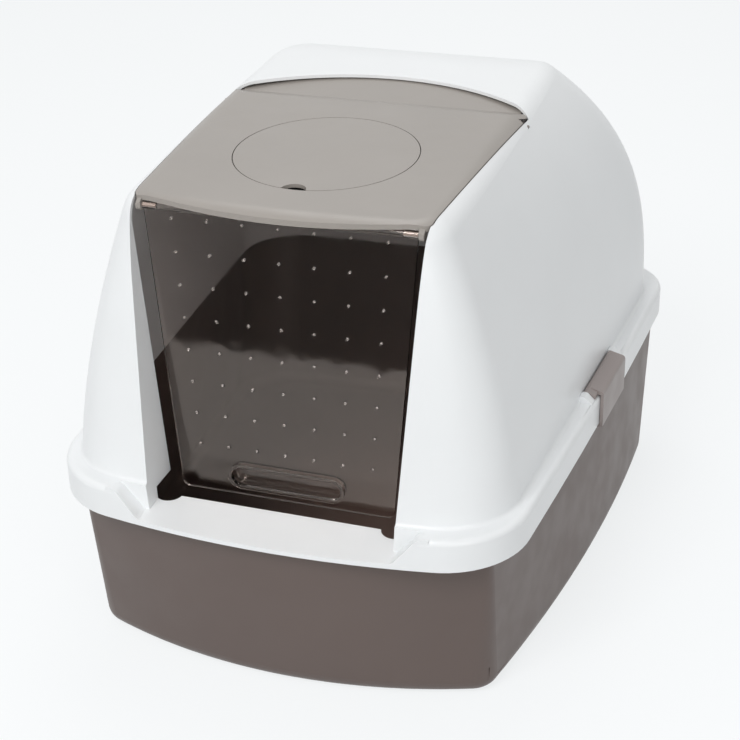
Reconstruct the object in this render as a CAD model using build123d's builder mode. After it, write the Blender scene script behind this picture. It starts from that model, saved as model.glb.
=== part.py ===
from build123d import *
from collections import namedtuple
import math
import os

os.makedirs("parts", exist_ok=True)

# A covered litter box: a grey pan, a white hood that two side clips hold down, a grey access panel
# with a round filter lid, and a smoked door that hangs from the panel's front edge.
# X is to the right, Y is to the rear, Z is up. The origin is on the floor under the middle.

# Flange round the foot of the hood
FLANGE_FRONT_Y = -262.0
FLANGE_REAR_Y = 271.0
FLANGE_FRONT_HALF = 193.0
FLANGE_REAR_HALF = 228.0
FLANGE_FRONT_BOW = 23.0
FLANGE_SIDE_BOW = 4.0
FLANGE_REAR_BOW = 14.0
FLANGE_FRONT_RADIUS = 72.0
FLANGE_REAR_RADIUS = 58.0
FLANGE_LOW_Z = 143.0
FLANGE_BAND = 28.0
FLANGE_EDGE_RADIUS = 5.0
FLANGE_PLATE = 3.0
SKIRT_WALL = 3.2

# Pan
PAN_WALL = 2.6
PAN_FLOOR = 3.0
PAN_SKIRT_INSET = 6.0
PAN_FRONT_INSET = 9.0
PAN_CREASE_SIDE_BACK = 17.0
PAN_CREASE_FRONT_BACK = 21.0
PAN_CREASE_TOP_RADIUS = 5.0
PAN_CREASE_FOOT_RADIUS = 26.0
PAN_SIDE_BOW = 7.0
PAN_FOOT_SIDE_BOW = 16.0
PAN_SIDE_DRAFT = 3.0
PAN_FRONT_DRAFT = 13.0
PAN_CREASE_DRAFT = 12.0
PAN_REAR_DRAFT = 36.0
PAN_FOOT_RADIUS = 14.0
PAN_RIM_LIP = 2.0
PAN_RIM_LIP_HEIGHT = 3.0
CREASE_NICK_WIDTH = 2.0
CREASE_NICK_IN = 1.0
CREASE_NICK_HEIGHT = 26.0

# Hood
HOOD_WALL = 2.8
HOOD_HEIGHT = 239.0
HOOD_FRONT_Y = FLANGE_FRONT_Y + 12.0
HOOD_REAR_Y = FLANGE_REAR_Y - 15.0
HOOD_FRONT_HALF = FLANGE_FRONT_HALF - 9.0
HOOD_REAR_HALF = FLANGE_REAR_HALF - 13.0
HOOD_FRONT_BOW = 14.0
HOOD_BOW_LOSS = 6.0
HOOD_SIDE_BOW = 1.0
HOOD_REAR_BOW = 8.0
HOOD_CORNER_RADIUS = 62.0
HOOD_CORNER_LOSS = 30.0
HOOD_FRONT_LEAN = 31.0
HOOD_REAR_LEAN = 78.0
HOOD_FRONT_NARROWING = 61.0
HOOD_REAR_NARROWING = 82.0
HOOD_TOP_EDGE_RADIUS = 22.0
HOOD_FOOT_RADIUS = 3.0
TOP_TILT = 2.3
TOP_FLAT_END_Y = 118.0
TOP_REAR_RADIUS = 150.0
TOP_REAR_ARC = 60.0

# Filter lid, its cup in the panel, and what lies in the cup
LID_Y = -102.0
LID_Z = 406.0
LID_RADIUS = 74.7
LID_THICKNESS = 3.0
LID_RIM_DEPTH = 3.0
LID_RIM_WALL = 2.0
LID_NOTCH_RADIUS = 10.0
CUP_DEPTH = 24.0
CUP_WALL = 2.5
CUP_SEAT_RADIUS = 71.5
CUP_SEAT_RING = 7.5
CUP_SEAT_THICKNESS = 2.5
CUP_LEDGE = 5.5
CUP_LEDGE_THICKNESS = 2.0
GRILLE_THICKNESS = 2.4
GRILLE_SLOT = 4.0
GRILLE_PITCH = 9.0
GRILLE_BORDER = 8.0
FILTER_THICKNESS = 12.0
FILTER_GAP = 1.5

# Access panel
PANEL_THICKNESS = 3.5
PANEL_FRONT_Y = -222.5
PANEL_FRONT_BOW = 13.5
PANEL_FRONT_HALF = 118.5
PANEL_REAR_HALF = 134.0
PANEL_CORNER_RADIUS = 8.0
PANEL_ARCH_Y = 76.0
PANEL_ARCH_RADIUS = 196.0
PANEL_GAP = 0.8
PANEL_FOLD_Y = 10.0
TONGUE_VALLEY_Y = 30.0
TONGUE_VALLEY_DEPTH = 6.0
TONGUE_TUCK = 8.0
TONGUE_THICKNESS = 3.0
TONGUE_GAP = 0.8
TONGUE_TUCK_HALF = 126.0
PANEL_AXIS_Y = 14.0
PANEL_AXIS_Z = 399.0
PANEL_PIN_RADIUS = 2.5
PANEL_EAR_RADIUS = 5.0
PANEL_EAR_X = 124.0
PANEL_EAR_WIDTH = 5.0
PANEL_BOSS_RADIUS = 5.0
PANEL_PIN_EMBED = 3.4

# Ledge in the hood on which the panel's sides rest
LEDGE_WIDTH = 6.0
LEDGE_THICKNESS = 2.6
LEDGE_WEB = 3.0
LEDGE_FRONT_Y = -196.0
LEDGE_REAR_Y = 8.0

# Door
DOOR_AXIS_Y = -210.0
DOOR_AXIS_Z = 392.0
DOOR_HANG = 2.5
DOOR_LENGTH = 242.0
DOOR_THICKNESS = 2.6
DOOR_BOTTOM_HALF = 91.0
DOOR_CORNER_RADIUS = 6.0
DOOR_BARREL_RADIUS = 3.2
DOOR_PIN_RADIUS = 1.8
DOOR_PIN_EMBED = 11.0
DOOR_LUG_X = 111.0
DOOR_LUG_WIDTH = 4.0
DOOR_LUG_RADIUS = 4.5
DOOR_LUG_REACH = 10.0
DOOR_END_GAP = 0.8
DOT_RADIUS = 1.6
DOT_HEIGHT = 0.8
DOT_COLUMNS = 7
DOT_ROWS = 8
DOT_FIRST_DROP = 8.0
DOT_ROW_PITCH = 27.5
DOT_TOP_HALF = 87.0
DOT_BOTTOM_HALF = 73.0
GRIP_ABOVE_BOTTOM = 17.0
GRIP_LENGTH = 100.0
GRIP_HEIGHT = 22.0
GRIP_RIM = 3.0
GRIP_RIM_PROUD = 2.0
GRIP_DEPTH = 6.0
GRIP_WALL = 1.6

# Entry through the hood's front
ENTRY_TOP_HALF = 118.0
ENTRY_TOP_Z = 394.0
ENTRY_LOW_HALF = 104.0
ENTRY_LOW_Z = 160.0
JAMB_WALL = 2.8
JAMB_REAR_Y = -218.0
ENTRY_REAR_Y = -205.0
SILL_REAR_Y = -238.0
SILL_REAR_Z = 150.0
SILL_FRONT_Z = 147.0
SILL_THICKNESS = 3.0
NOTCH_LOW_HALF = 106.0
NOTCH_TOP_HALF = 126.0
NOTCH_ROUND = 9.0
NOTCH_REAR_Y = -262.0
RELIEF_X = 97.0
RELIEF_Y = -236.0
RELIEF_RADIUS = 11.5
RELIEF_TOP_Z = 160.0

# Side clips that hold the hood down on the pan
CLIP_Y = 17.0
CLIP_FRONT = -40.0
CLIP_REAR = 43.0
CLIP_ARM_FRONT = -31.0
CLIP_THICKNESS = 3.0
CLIP_AXIS_IN = 10.5
CLIP_BARREL_RADIUS = 3.0
CLIP_PIN_RADIUS = 1.6
CLIP_PLATE_OUT = -2.0
CLIP_CORNER_RADIUS = 4.0
CLIP_LIP_IN = 5.4
CLIP_LUG_WIDTH = 9.0
CLIP_LUG_IN = 4.0
CLIP_LUG_OUT = 8.0
CLIP_LUG_ROUND = 2.5
CLIP_PIN_EMBED = 5.0
CATCH_HEIGHT = 4.0
CATCH_MARGIN = 2.0

# Clearances
REST_GAP = 0.3
RUN_GAP = 0.08
PRESS_GAP = 0.02
CLIP_GAP = 0.4
END_GAP = 0.4
RIM_GAP = 0.9

# Levels that follow from the sizes above
flange_top_z = FLANGE_LOW_Z + FLANGE_BAND
plate_low_z = flange_top_z - FLANGE_PLATE
pan_rim_z = plate_low_z - REST_GAP
flange_front_centre = FLANGE_FRONT_Y - FLANGE_FRONT_BOW
top_slope = math.tan(math.radians(TOP_TILT))
reach = 500.0

Outline = namedtuple(
    "Outline",
    "front_half rear_half front_y rear_y front_bow side_bow rear_bow front_radius rear_radius",
)

flange = Outline(
    FLANGE_FRONT_HALF,
    FLANGE_REAR_HALF,
    FLANGE_FRONT_Y,
    FLANGE_REAR_Y,
    FLANGE_FRONT_BOW,
    FLANGE_SIDE_BOW,
    FLANGE_REAR_BOW,
    FLANGE_FRONT_RADIUS,
    FLANGE_REAR_RADIUS,
)


def plan(height, outline, inset=0.0):
    """A level outline of four shallow arcs with rounded corners, drawn in by an inset."""
    front_half = outline.front_half - inset
    rear_half = outline.rear_half - inset
    front_y = outline.front_y + inset
    rear_y = outline.rear_y - inset
    side_x = (front_half + rear_half) / 2 + outline.side_bow
    side_y = (front_y + rear_y) / 2
    with BuildSketch(Plane.XY.offset(height)) as section:
        with BuildLine():
            ThreePointArc((-front_half, front_y), (0, front_y - outline.front_bow), (front_half, front_y))
            ThreePointArc((front_half, front_y), (side_x, side_y), (rear_half, rear_y))
            ThreePointArc((rear_half, rear_y), (0, rear_y + outline.rear_bow), (-rear_half, rear_y))
            ThreePointArc((-rear_half, rear_y), (-side_x, side_y), (-front_half, front_y))
        make_face()
        front_corners = section.vertices().filter_by(lambda v: abs(v.Y - front_y) < 0.01)
        fillet(front_corners, outline.front_radius - inset)
        rear_corners = section.vertices().filter_by(
            lambda v: abs(v.Y - rear_y) < 0.01 and abs(abs(v.X) - rear_half) < 0.01
        )
        fillet(rear_corners, outline.rear_radius - inset)
    return section.sketch


def pan_outline(share):
    """The pan's outline from its foot, share 0, to its rim, share 1."""
    short = 1 - share
    return Outline(
        FLANGE_FRONT_HALF - PAN_CREASE_SIDE_BACK - PAN_SIDE_DRAFT * short,
        FLANGE_REAR_HALF - PAN_SKIRT_INSET - PAN_SIDE_DRAFT * short,
        FLANGE_FRONT_Y + PAN_CREASE_FRONT_BACK + PAN_CREASE_DRAFT * short,
        FLANGE_REAR_Y - PAN_SKIRT_INSET - PAN_REAR_DRAFT * short,
        FLANGE_FRONT_BOW + PAN_CREASE_FRONT_BACK - PAN_FRONT_INSET
        - (PAN_FRONT_DRAFT - PAN_CREASE_DRAFT) * short,
        PAN_SIDE_BOW + (PAN_FOOT_SIDE_BOW - PAN_SIDE_BOW) * short,
        FLANGE_REAR_BOW,
        PAN_CREASE_TOP_RADIUS + (PAN_CREASE_FOOT_RADIUS - PAN_CREASE_TOP_RADIUS) * short,
        FLANGE_REAR_RADIUS - PAN_SKIRT_INSET * share,
    )


def pan_form(low_z, high_z, inset=0.0):
    """The solid inside the pan's walls between two levels."""
    with BuildPart() as form:
        sections = [plan(z, pan_outline(z / pan_rim_z), inset) for z in (low_z, high_z)]
        loft([section.face() for section in sections])
        foot = form.faces().sort_by(Axis.Z)[0].edges()
        fillet(foot, PAN_FOOT_RADIUS - inset)
    return form.part


def hood_outline(share):
    """The hood's outline from its foot, share 0, to its crown, share 1."""
    return Outline(
        HOOD_FRONT_HALF - HOOD_FRONT_NARROWING * share**1.4,
        HOOD_REAR_HALF - HOOD_REAR_NARROWING * share**3,
        HOOD_FRONT_Y + HOOD_FRONT_LEAN * share,
        HOOD_REAR_Y - HOOD_REAR_LEAN * share**3,
        HOOD_FRONT_BOW - HOOD_BOW_LOSS * share,
        HOOD_SIDE_BOW,
        HOOD_REAR_BOW,
        HOOD_CORNER_RADIUS - HOOD_CORNER_LOSS * share,
        HOOD_CORNER_RADIUS,
    )


def top_z(y, inset=0.0):
    """Height of the hood's flat top at a place along Y, or of a face an inset below it."""
    return LID_Z - inset + (y - LID_Y) * top_slope


def hood_form(inset=0.0):
    """The solid inside the hood's outer skin, or inside a skin that lies an inset within it."""
    with BuildPart() as form:
        shares = (0, 0.3, 0.55, 0.75, 0.9, 1.05)
        levels = [flange_top_z + share * HOOD_HEIGHT for share in shares]
        loft([plan(z, hood_outline(share), inset).face() for z, share in zip(levels, shares)])
        with BuildSketch(Plane.YZ):
            with BuildLine():
                flat = Line((-reach, top_z(-reach, inset)), (TOP_FLAT_END_Y, top_z(TOP_FLAT_END_Y, inset)))
                fall = JernArc(flat @ 1, flat % 1, TOP_REAR_RADIUS - inset, -TOP_REAR_ARC)
                Polyline(fall @ 1, (reach, (fall @ 1).Y - reach / 4), (reach, 0), (-reach, 0), flat @ 0)
            make_face()
        extrude(amount=reach, both=True, mode=Mode.INTERSECT)
        crown_z = flange_top_z + 0.85 * HOOD_HEIGHT
        brow = form.edges().filter_by(lambda e: e.center().Z > crown_z and e.center().Y < 0.8 * HOOD_FRONT_Y)
        fillet(brow, HOOD_TOP_EDGE_RADIUS - inset)
    return form.part


def panel_plan(grow=0.0, height=0.0):
    """The access panel's outline seen from above, at a height, grown on all sides."""
    front_half = PANEL_FRONT_HALF + grow
    rear_half = PANEL_REAR_HALF + grow
    front_y = PANEL_FRONT_Y + PANEL_FRONT_BOW - grow
    arch_radius = PANEL_ARCH_RADIUS + grow
    arch_centre = PANEL_ARCH_Y - PANEL_ARCH_RADIUS
    rear_y = arch_centre + math.sqrt(arch_radius**2 - rear_half**2)
    with BuildSketch(Plane.XY.offset(height)) as outline:
        with BuildLine():
            ThreePointArc((-front_half, front_y), (0, PANEL_FRONT_Y - grow), (front_half, front_y))
            Line((front_half, front_y), (rear_half, rear_y))
            ThreePointArc((rear_half, rear_y), (0, PANEL_ARCH_Y + grow), (-rear_half, rear_y))
            Line((-rear_half, rear_y), (-front_half, front_y))
        make_face()
        fillet(outline.vertices().sort_by(Axis.Y)[:2], max(PANEL_CORNER_RADIUS + grow, 1.0))
    return outline.sketch


def entry_half(z):
    """Half the width between the entry's jambs at a height."""
    share = (z - ENTRY_LOW_Z) / (ENTRY_TOP_Z - ENTRY_LOW_Z)
    return ENTRY_LOW_HALF + (ENTRY_TOP_HALF - ENTRY_LOW_HALF) * share


def entry_face(y, low_z, high_z, grow=0.0):
    """The entry's tapering outline seen from the front, between two levels, at a place along Y."""
    low = entry_half(low_z) + grow
    high = entry_half(high_z) + grow
    with BuildSketch(Plane.XZ.offset(-y)) as outline:
        Polygon((-low, low_z), (low, low_z), (high, high_z), (-high, high_z), align=None)
    return outline.sketch


def notch_face(y, grow=0.0):
    """The notch in the flange's front with its soft shoulders, seen from the front, at a place along Y."""
    lean = math.atan2(flange_top_z - SILL_FRONT_Z, NOTCH_TOP_HALF - NOTCH_LOW_HALF)
    aside = grow * math.tan(lean / 2)
    low = SILL_FRONT_Z - grow
    high = flange_top_z - grow
    top = high + FLANGE_BAND
    low_half = NOTCH_LOW_HALF + aside
    high_half = NOTCH_TOP_HALF + aside
    edge_half = NOTCH_TOP_HALF + NOTCH_ROUND
    with BuildSketch(Plane.XZ.offset(-y)) as outline:
        with BuildLine():
            right = Polyline((0, low), (low_half, low), (high_half, high), (edge_half, high), (edge_half, top))
            mirror(right, about=Plane.YZ)
            Line((-edge_half, top), (edge_half, top))
        make_face()
        shoulders = outline.vertices().filter_by(lambda v: abs(abs(v.X) - high_half) < 0.01)
        fillet(shoulders, NOTCH_ROUND - grow)
        feet = outline.vertices().filter_by(lambda v: abs(abs(v.X) - low_half) < 0.01)
        fillet(feet, NOTCH_ROUND + grow)
    return outline.sketch


def sill_z(y):
    """Height of the sill's ramp at a place along Y."""
    run = SILL_REAR_Y - flange_front_centre
    return SILL_REAR_Z - (SILL_REAR_Z - SILL_FRONT_Z) * (SILL_REAR_Y - y) / run


def clip_frame():
    """Place and heading of the flange's right side beside the clip: x is outward, z is up."""
    run = FLANGE_REAR_Y - FLANGE_FRONT_Y
    along = (CLIP_Y - FLANGE_FRONT_Y) / run
    chord_x = FLANGE_FRONT_HALF + (FLANGE_REAR_HALF - FLANGE_FRONT_HALF) * along
    side_x = chord_x + FLANGE_SIDE_BOW * (1 - (2 * along - 1) ** 2)
    angle = math.atan((FLANGE_REAR_HALF - FLANGE_FRONT_HALF) / run)
    outward = (math.cos(angle), -math.sin(angle), 0)
    return Plane(origin=(side_x, CLIP_Y, 0), x_dir=outward, z_dir=(0, 0, 1))


clip_plan = clip_frame()
clip_section = Plane(origin=clip_plan.origin, x_dir=clip_plan.x_dir, z_dir=-clip_plan.y_dir)
clip_axis_z = flange_top_z + CLIP_GAP + CLIP_BARREL_RADIUS
clip_axis = (-CLIP_AXIS_IN, clip_axis_z)
clip_lip_radius = math.hypot(CLIP_AXIS_IN, clip_axis_z - FLANGE_LOW_Z) + REST_GAP
top_plane = Plane(
    origin=(0, LID_Y, LID_Z),
    x_dir=(1, 0, 0),
    z_dir=(0, -math.sin(math.radians(TOP_TILT)), math.cos(math.radians(TOP_TILT))),
)
hang = math.radians(DOOR_HANG)
door_plane = Plane(
    origin=(0, DOOR_AXIS_Y, DOOR_AXIS_Z), x_dir=(1, 0, 0), z_dir=(0, -math.cos(hang), math.sin(hang))
)
seat_depth = LID_THICKNESS + REST_GAP
cup_floor_depth = CUP_DEPTH - CUP_LEDGE_THICKNESS
grille_depth = cup_floor_depth - REST_GAP
filter_depth = grille_depth - GRILLE_THICKNESS - REST_GAP
door_half = DOOR_LUG_X - DOOR_END_GAP
grip_drop = DOOR_LENGTH - GRIP_ABOVE_BOTTOM
grip_inner_length = GRIP_LENGTH - 2 * GRIP_RIM
grip_inner_height = GRIP_HEIGHT - 2 * GRIP_RIM
panel_low_z = flange_top_z + 0.75 * HOOD_HEIGHT
entry_top_z = LID_Z + TOP_REAR_RADIUS / 4
boss_x = PANEL_REAR_HALF
hood_outer = hood_form()
hood_inner = hood_form(HOOD_WALL)
under_panel = hood_form(PANEL_THICKNESS + REST_GAP)

# Pan: a deep tray with a creased front corner each side and a low rim under the entry
with BuildPart() as pan:
    add(pan_form(0, pan_rim_z))
    rim_lip = plan(pan_rim_z - PAN_RIM_LIP_HEIGHT, pan_outline(1), -PAN_RIM_LIP)
    extrude(rim_lip.face(), amount=PAN_RIM_LIP_HEIGHT)
    # Ribs under which the clips' lips reach
    rib_outer = -SKIRT_WALL - CLIP_GAP
    rib_inner = -CLIP_LIP_IN - 2 * PAN_WALL
    rib_low = clip_axis_z - math.sqrt(clip_lip_radius**2 - (CLIP_AXIS_IN + rib_outer) ** 2) + REST_GAP
    rib_length = CLIP_REAR - CLIP_ARM_FRONT + 2 * CATCH_MARGIN
    with BuildSketch(clip_plan.offset(rib_low)):
        with Locations(((rib_outer + rib_inner) / 2, (CLIP_REAR + CLIP_ARM_FRONT) / 2)):
            Rectangle(rib_outer - rib_inner, rib_length)
    catch = extrude(amount=CATCH_HEIGHT)
    mirror(catch, about=Plane.YZ)
    add(pan_form(PAN_FLOOR, pan_rim_z + 1, PAN_WALL), mode=Mode.SUBTRACT)
    # Nick up the foot of each front crease
    foot_outline = pan_outline(0)
    nick_x = foot_outline.front_half - CREASE_NICK_IN
    nick_y = foot_outline.front_y + CREASE_NICK_IN
    with BuildSketch():
        with Locations((nick_x, nick_y), (-nick_x, nick_y)):
            Rectangle(CREASE_NICK_WIDTH, CREASE_NICK_WIDTH, rotation=45)
    extrude(amount=CREASE_NICK_HEIGHT, mode=Mode.SUBTRACT)
    rim_low = sill_z(flange_front_centre) - SILL_THICKNESS - REST_GAP
    rim_half = NOTCH_TOP_HALF + SILL_THICKNESS + RIM_GAP
    with BuildSketch(Plane.XY.offset(rim_low)):
        with Locations((0, flange_front_centre)):
            Rectangle(2 * rim_half, -flange_front_centre)
    extrude(amount=FLANGE_BAND, mode=Mode.SUBTRACT)


# Room inside the entry: between the jambs, through the flange's notch, above the sill's ramp
with BuildPart() as entry_room:
    extrude(entry_face(ENTRY_REAR_Y, SILL_FRONT_Z - SILL_THICKNESS, entry_top_z).face(), amount=reach)
    extrude(notch_face(NOTCH_REAR_Y).face(), amount=reach)
    with BuildSketch(Plane.YZ):
        with BuildLine():
            Polyline(
                (-reach, sill_z(-reach)),
                (SILL_REAR_Y, SILL_REAR_Z),
                (ENTRY_REAR_Y, SILL_REAR_Z),
                (ENTRY_REAR_Y, entry_top_z),
                (-reach, entry_top_z),
                close=True,
            )
        make_face()
    extrude(amount=reach, both=True, mode=Mode.INTERSECT)

# Sill: a ramp let into the flange between slanted sides, which runs back between the jambs
with BuildPart() as sill:
    extrude(notch_face(NOTCH_REAR_Y + SILL_THICKNESS, SILL_THICKNESS).face(), amount=reach)
    between_jambs = entry_face(SILL_REAR_Y, SILL_FRONT_Z - 2 * SILL_THICKNESS, entry_top_z, JAMB_WALL)
    extrude(between_jambs.face(), amount=reach)
    with BuildSketch(Plane.YZ):
        with BuildLine():
            Polyline(
                (-reach, sill_z(-reach) - SILL_THICKNESS),
                (SILL_REAR_Y, SILL_REAR_Z - SILL_THICKNESS),
                (SILL_REAR_Y, flange_top_z),
                (-reach, flange_top_z),
                close=True,
            )
        make_face()
    extrude(amount=reach, both=True, mode=Mode.INTERSECT)
    extrude(plan(FLANGE_LOW_Z, flange).face(), amount=FLANGE_BAND, mode=Mode.INTERSECT)

# Jambs: return walls behind the hood's front on both sides of the entry
with BuildPart() as jambs:
    extrude(entry_face(JAMB_REAR_Y, flange_top_z, entry_top_z, JAMB_WALL).face(), amount=reach)
    add(hood_outer, mode=Mode.INTERSECT)
    jamb_foot = entry_face(JAMB_REAR_Y, ENTRY_LOW_Z, flange_top_z, JAMB_WALL)
    extrude(jamb_foot.face(), amount=JAMB_REAR_Y - NOTCH_REAR_Y)

# Ledge under the panel's sides, hung from the edge of the hood's top opening
with BuildPart() as ledge:
    extrude(panel_plan(PANEL_GAP + LEDGE_WEB, panel_low_z).face(), amount=reach)
    extrude(panel_plan(-LEDGE_WIDTH, panel_low_z).face(), amount=reach, mode=Mode.SUBTRACT)
    with BuildSketch(Plane.XY.offset(panel_low_z)):
        with Locations((0, (LEDGE_FRONT_Y + LEDGE_REAR_Y) / 2)):
            Rectangle(reach, LEDGE_REAR_Y - LEDGE_FRONT_Y)
    extrude(amount=reach, mode=Mode.INTERSECT)
    add(hood_form(HOOD_WALL / 2), mode=Mode.INTERSECT)
    add(hood_form(PANEL_THICKNESS + REST_GAP + LEDGE_THICKNESS), mode=Mode.SUBTRACT)

# Room for the access panel in the hood's top
with BuildPart() as panel_room:
    extrude(panel_plan(PANEL_GAP, panel_low_z).face(), amount=reach)
    add(under_panel, mode=Mode.SUBTRACT)

# Bosses that hold the panel's hinge pins
with BuildPart() as boss:
    with BuildSketch(Plane.YZ.offset(boss_x)):
        with Locations((PANEL_AXIS_Y, PANEL_AXIS_Z)):
            Circle(PANEL_BOSS_RADIUS)
    extrude(amount=reach)
    add(hood_form(HOOD_WALL / 2), mode=Mode.INTERSECT)

# Lugs on the flange that hold a clip's pin: blunt ends of a bead, with blind holes that face each other
with BuildPart() as clip_lugs:
    lug_inner = clip_axis[0] - CLIP_LUG_IN
    lug_outer = clip_axis[0] + CLIP_LUG_OUT
    lug_top_z = clip_axis_z + CLIP_BARREL_RADIUS
    for start in (CLIP_REAR + END_GAP, CLIP_FRONT - END_GAP - CLIP_LUG_WIDTH):
        with BuildSketch(clip_section.offset(-start)) as lug_section:
            Polygon(
                (lug_inner, plate_low_z),
                (lug_outer, plate_low_z),
                (lug_outer, flange_top_z + CLIP_GAP),
                (clip_axis[0] + CLIP_PIN_RADIUS, lug_top_z),
                (lug_inner, lug_top_z),
                align=None,
            )
            lug_top = lug_section.vertices().filter_by(lambda v: v.Y > lug_top_z - 0.01)
            fillet(lug_top, CLIP_LUG_ROUND)
        extrude(amount=-CLIP_LUG_WIDTH)
    hole_end = CLIP_REAR + END_GAP + CLIP_PIN_EMBED
    with BuildSketch(clip_section.offset(-hole_end)):
        with Locations(clip_axis):
            Circle(CLIP_PIN_RADIUS + PRESS_GAP)
    extrude(amount=hole_end - CLIP_FRONT + END_GAP + CLIP_PIN_EMBED, mode=Mode.SUBTRACT)

# Hood
with BuildPart() as hood:
    extrude(plan(FLANGE_LOW_Z, flange).face(), amount=FLANGE_BAND)
    fillet(hood.faces().sort_by(Axis.Z)[-1].edges(), FLANGE_EDGE_RADIUS)
    add(hood_outer)
    curved = hood.edges().filter_by(GeomType.BSPLINE)
    fillet(curved.filter_by(lambda e: abs(e.center().Z - flange_top_z) < 0.01), HOOD_FOOT_RADIUS)
    skirt_room = plan(FLANGE_LOW_Z - 1, flange, SKIRT_WALL)
    extrude(skirt_room.face(), amount=plate_low_z - FLANGE_LOW_Z + 1, mode=Mode.SUBTRACT)
    plate_room = plan(plate_low_z - 1, hood_outline(0), HOOD_WALL)
    extrude(plate_room.face(), amount=FLANGE_PLATE + 1, mode=Mode.SUBTRACT)
    add(hood_inner, mode=Mode.SUBTRACT)
    add(ledge.part)
    add(jambs.part)
    add(sill.part)
    add(boss.part)
    mirror(boss.part, about=Plane.YZ)
    add(clip_lugs.part)
    mirror(clip_lugs.part, about=Plane.YZ)
    add(panel_room.part, mode=Mode.SUBTRACT)
    add(entry_room.part, mode=Mode.SUBTRACT)
    with BuildSketch(Plane.XY.offset(FLANGE_LOW_Z - 1)):
        with Locations((RELIEF_X, RELIEF_Y), (-RELIEF_X, RELIEF_Y)):
            Circle(RELIEF_RADIUS)
    extrude(amount=RELIEF_TOP_Z - FLANGE_LOW_Z + 1, mode=Mode.SUBTRACT)
    with BuildSketch(Plane.YZ.offset(PANEL_EAR_X)):
        with Locations((PANEL_AXIS_Y, PANEL_AXIS_Z)):
            Circle(PANEL_PIN_RADIUS + PRESS_GAP)
    pin_hole = extrude(amount=boss_x + PANEL_PIN_EMBED - PANEL_EAR_X, mode=Mode.SUBTRACT)
    mirror(pin_hole, about=Plane.YZ, mode=Mode.SUBTRACT)


# Tongue behind the panel's fold: a shallow valley that rises again and ends close under the hood's top.
# Its sides stand one gap further in than the panel's, so that its corners clear the hood as it tips.
with BuildPart() as tongue:
    tongue_end_y = PANEL_ARCH_Y + TONGUE_TUCK
    tongue_line = (
        (PANEL_FOLD_Y, top_z(PANEL_FOLD_Y)),
        (TONGUE_VALLEY_Y, top_z(TONGUE_VALLEY_Y) - TONGUE_VALLEY_DEPTH),
        (tongue_end_y, top_z(tongue_end_y) - HOOD_WALL - TONGUE_GAP),
    )
    tongue_back = [(y, z - TONGUE_THICKNESS) for y, z in reversed(tongue_line)]
    with BuildSketch(Plane.YZ):
        Polygon(*tongue_line, *tongue_back, align=None)
    extrude(amount=reach, both=True)
    with BuildSketch(Plane.XY.offset(panel_low_z)) as tongue_plan:
        with Locations((0, PANEL_ARCH_Y - PANEL_ARCH_RADIUS)):
            Circle(PANEL_ARCH_RADIUS + TONGUE_TUCK)
        with Locations((0, PANEL_FOLD_Y + reach / 2)):
            Rectangle(2 * TONGUE_TUCK_HALF, reach, mode=Mode.INTERSECT)
        add(panel_plan(-PANEL_GAP))
    extrude(tongue_plan.sketch.faces(), amount=reach, mode=Mode.INTERSECT)
    add(hood_outer, mode=Mode.INTERSECT)

# Lugs and ears under the panel: lugs at its front corners for the door, ears at its fold for its own pins
with BuildPart() as panel_lugs:
    with BuildSketch(Plane.YZ.offset(DOOR_LUG_X)):
        with Locations((DOOR_AXIS_Y, DOOR_AXIS_Z)):
            Circle(DOOR_LUG_RADIUS)
        lug_middle_y = DOOR_AXIS_Y + (DOOR_LUG_REACH - DOOR_LUG_RADIUS) / 2
        with Locations((lug_middle_y, DOOR_AXIS_Z + DOOR_LUG_RADIUS)):
            Rectangle(DOOR_LUG_RADIUS + DOOR_LUG_REACH, 2 * DOOR_LUG_RADIUS)
        with Locations((DOOR_AXIS_Y, DOOR_AXIS_Z)):
            Circle(DOOR_PIN_RADIUS + RUN_GAP, mode=Mode.SUBTRACT)
    extrude(amount=DOOR_LUG_WIDTH)
    with BuildSketch(Plane.YZ.offset(PANEL_EAR_X)):
        ear_top_z = top_z(PANEL_AXIS_Y) - PANEL_THICKNESS
        with Locations((PANEL_AXIS_Y, PANEL_AXIS_Z)):
            Circle(PANEL_EAR_RADIUS)
        with Locations((PANEL_AXIS_Y, (PANEL_AXIS_Z + ear_top_z) / 2)):
            Rectangle(2 * PANEL_EAR_RADIUS, ear_top_z - PANEL_AXIS_Z)
        with Locations((PANEL_AXIS_Y, PANEL_AXIS_Z)):
            Circle(PANEL_PIN_RADIUS + RUN_GAP, mode=Mode.SUBTRACT)
    extrude(amount=PANEL_EAR_WIDTH)
    add(hood_form(PANEL_THICKNESS / 2), mode=Mode.INTERSECT)

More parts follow.
